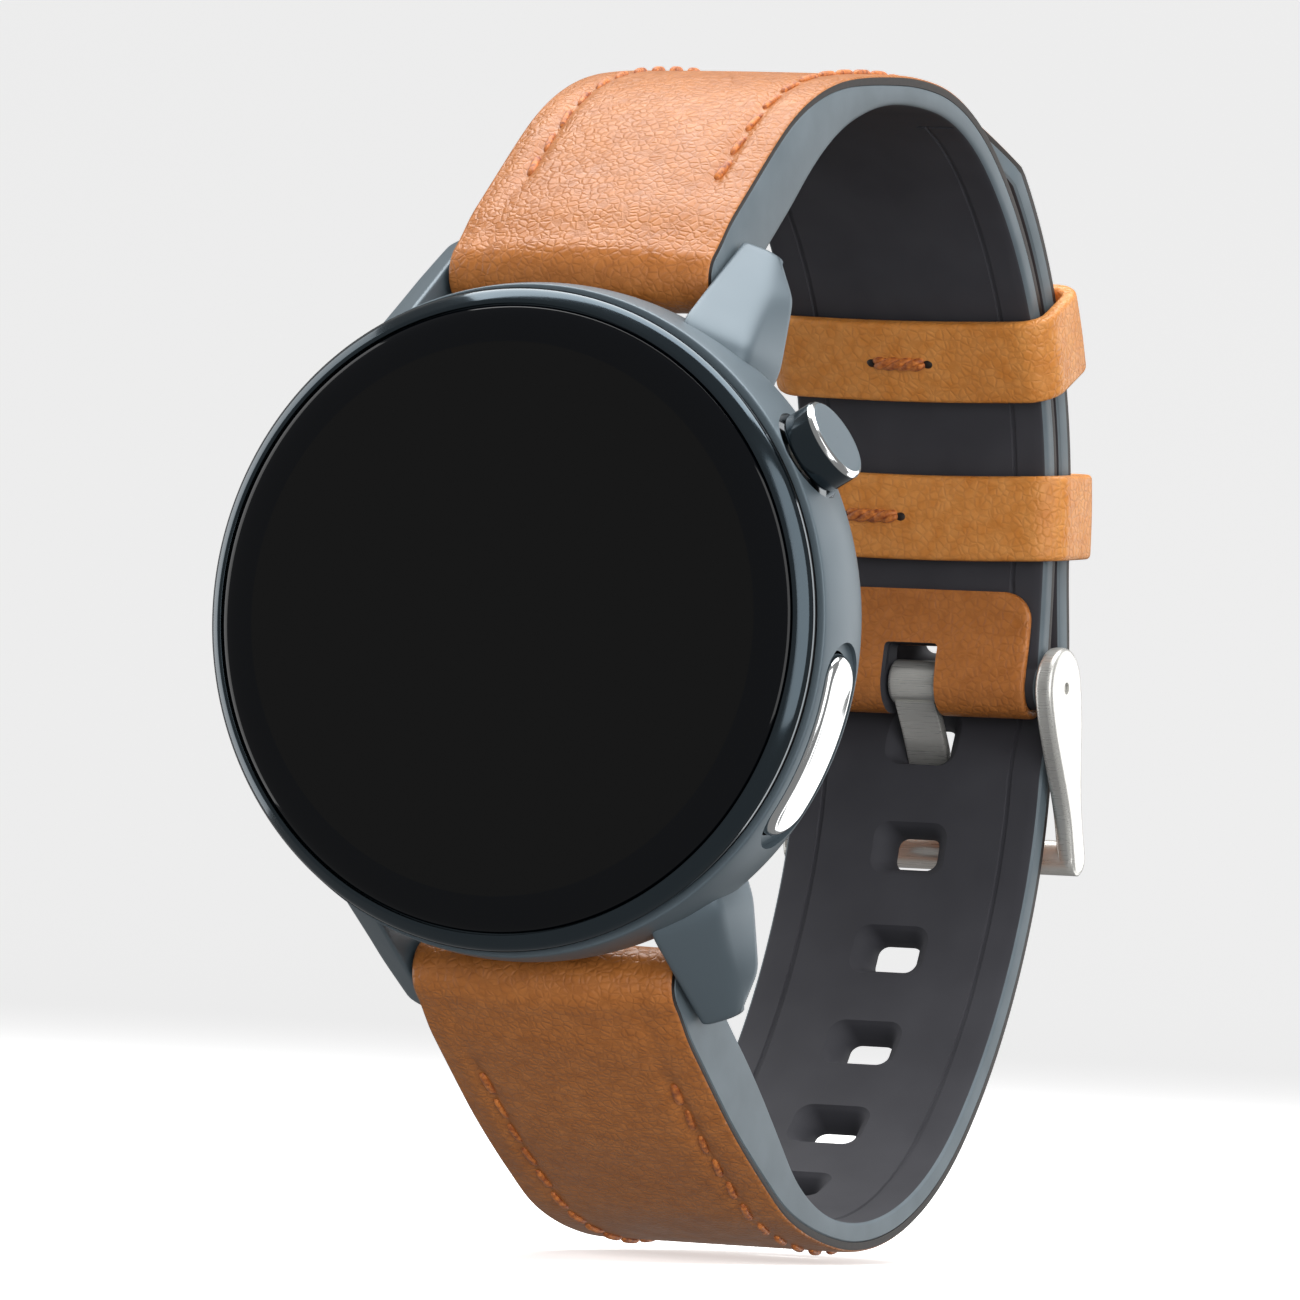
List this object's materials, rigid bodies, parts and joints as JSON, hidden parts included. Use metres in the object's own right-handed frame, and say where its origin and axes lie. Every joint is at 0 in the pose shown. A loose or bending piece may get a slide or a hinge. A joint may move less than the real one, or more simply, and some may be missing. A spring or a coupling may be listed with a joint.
{
  "type": "smartwatch",
  "caption": "Round smartwatch with a large black display, a crown and a long side button, worn on a padded tan leather and rubber strap buckled shut.",
  "frame": {"origin": "centre of the flat sensor window on the case back", "axes": "+Y out of the case back towards the wrist, so the dial looks along -Y; +Z towards twelve o'clock; +X towards the crown at three o'clock"},
  "size_m": [0.047, 0.0796, 0.0855],
  "materials": {
    "case_paint": "satin grey-blue paint on the case",
    "bezel_metal": "polished dark plating",
    "black_rubber": "matt black",
    "black_glass": "polished",
    "display_black": "unlit display",
    "flex_amber": "polyimide film",
    "grey_plastic": "moulded",
    "board_green": "solder mask",
    "steel": "brushed",
    "foil": "pouch foil",
    "tungsten": "sintered",
    "gold": "gold plated",
    "black_plastic": "gloss",
    "strap_rubber": "matt charcoal",
    "tan_leather": "semi-matt, fine grain",
    "orange_thread": "waxed thread",
    "polished_steel": "polished"
  },
  "bodies": {
    "case": {"mid_case": "case_paint", "bezel_ring": "bezel_metal", "bezel_gasket": "black_rubber", "cover_glass": "black_glass", "display_panel": "display_black", "display_flex": "flex_amber", "inner_frame": "grey_plastic", "main_board": "board_green", "shield_can": "steel", "battery": "foil", "motor_can": "steel", "speaker": "black_plastic", "sensor_board": "board_green", "sensor_window": "black_glass", "back_cover": "grey_plastic", "back_seal": "black_rubber", "back_screws": "steel", "charging_pins": "gold", "crown_tube": "steel", "crown_switch": "black_plastic", "side_button_seals": "black_rubber", "side_button_switch": "black_plastic", "upper_bar_tube": "steel", "lower_bar_tube": "steel"},
    "motor_rotor": {"motor_rotor": "tungsten"},
    "crown_wheel": {"crown_encoder_wheel": "grey_plastic"},
    "crown": {"crown_cap": "bezel_metal", "crown_stem": "steel", "crown_seal": "black_rubber", "crown_clip": "steel"},
    "side_button": {"side_button_cap": "polished_steel", "side_button_plungers": "steel"},
    "upper_tip_left": {"upper_bar_tip_left": "steel"},
    "upper_tip_right": {"upper_bar_tip_right": "steel"},
    "lower_tip_left": {"lower_bar_tip_left": "steel"},
    "lower_tip_right": {"lower_bar_tip_right": "steel"},
    "short_strap": {"short_strap_liner": "strap_rubber", "short_strap_leather": "tan_leather", "short_strap_patch": "tan_leather", "short_strap_stitching": "orange_thread", "lower_keeper": "tan_leather", "lower_keeper_stitches": "orange_thread"},
    "long_strap": {"long_strap_liner": "strap_rubber", "long_strap_leather": "tan_leather", "long_strap_stitching": "orange_thread"},
    "upper_keeper": {"upper_keeper": "tan_leather", "upper_keeper_stitches": "orange_thread"},
    "buckle": {"buckle_frame": "steel", "buckle_bar_tube": "steel"},
    "tongue": {"buckle_tongue": "steel"},
    "buckle_tip_left": {"buckle_bar_tip_left": "steel"},
    "buckle_tip_right": {"buckle_bar_tip_right": "steel"}
  },
  "joints": [
    {"name": "short_strap_swing", "type": "hinge", "parent": "case", "child": "short_strap", "pos_m": [0, 0.0003, 0.0245], "axis": [1, 0, 0], "range_deg": [-0.3, 0.3]},
    {"name": "long_strap_swing", "type": "hinge", "parent": "case", "child": "long_strap", "pos_m": [0, 0.0003, -0.0245], "axis": [1, 0, 0], "range_deg": [-0.3, 0.3]},
    {"name": "crown_spin", "type": "hinge", "parent": "case", "child": "crown_wheel", "pos_m": [0.01791, -0.0055, 0.01097], "axis": [0.8526, 0, 0.5225], "continuous": true},
    {"name": "crown_press", "type": "slide", "parent": "crown_wheel", "child": "crown", "axis": [-0.8526, 0, -0.5225], "range_m": [0, 0.0005], "stiffness_N_per_m": 3000, "springref_m": -0.0001},
    {"name": "side_button_press", "type": "slide", "parent": "case", "child": "side_button", "axis": [-0.9379, 0, 0.3469], "range_m": [0, 0.00035], "stiffness_N_per_m": 4000, "springref_m": -0.0001},
    {"name": "motor_rotor_spin", "type": "hinge", "parent": "case", "child": "motor_rotor", "pos_m": [-0.0065, -0.0044, -0.012], "axis": [0, -1, 0], "continuous": true},
    {"name": "buckle_pivot", "type": "hinge", "parent": "short_strap", "child": "buckle", "pos_m": [0, 0.06142, -0.0014], "axis": [1, 0, 0], "range_deg": [0, 6]},
    {"name": "tongue_pivot", "type": "hinge", "parent": "short_strap", "child": "tongue", "pos_m": [0, 0.06142, -0.0014], "axis": [1, 0, 0], "range_deg": [0, 6]},
    {"name": "upper_keeper_slide", "type": "slide", "parent": "short_strap", "child": "upper_keeper", "axis": [0, 0.4396, -0.8982], "range_m": [-0.0012, 0.0012]},
    {"name": "upper_tip_left_slide", "type": "slide", "parent": "case", "child": "upper_tip_left", "axis": [1, 0, 0], "range_m": [0, 0.0012], "stiffness_N_per_m": 500, "springref_m": -0.0005},
    {"name": "upper_tip_right_slide", "type": "slide", "parent": "case", "child": "upper_tip_right", "axis": [-1, 0, 0], "range_m": [0, 0.0012], "stiffness_N_per_m": 500, "springref_m": -0.0005},
    {"name": "lower_tip_left_slide", "type": "slide", "parent": "case", "child": "lower_tip_left", "axis": [1, 0, 0], "range_m": [0, 0.0012], "stiffness_N_per_m": 500, "springref_m": -0.0005},
    {"name": "lower_tip_right_slide", "type": "slide", "parent": "case", "child": "lower_tip_right", "axis": [-1, 0, 0], "range_m": [0, 0.0012], "stiffness_N_per_m": 500, "springref_m": -0.0005},
    {"name": "buckle_tip_left_slide", "type": "slide", "parent": "buckle", "child": "buckle_tip_left", "axis": [1, 0, 0], "range_m": [0, 0.0012], "stiffness_N_per_m": 500, "springref_m": -0.0005},
    {"name": "buckle_tip_right_slide", "type": "slide", "parent": "buckle", "child": "buckle_tip_right", "axis": [-1, 0, 0], "range_m": [0, 0.0012], "stiffness_N_per_m": 500, "springref_m": -0.0005}
  ],
  "couplings": [
    {"joint": "long_strap_swing", "follows": "short_strap_swing", "ratio": 1},
    {"joint": "tongue_pivot", "follows": "buckle_pivot", "ratio": 1}
  ]
}
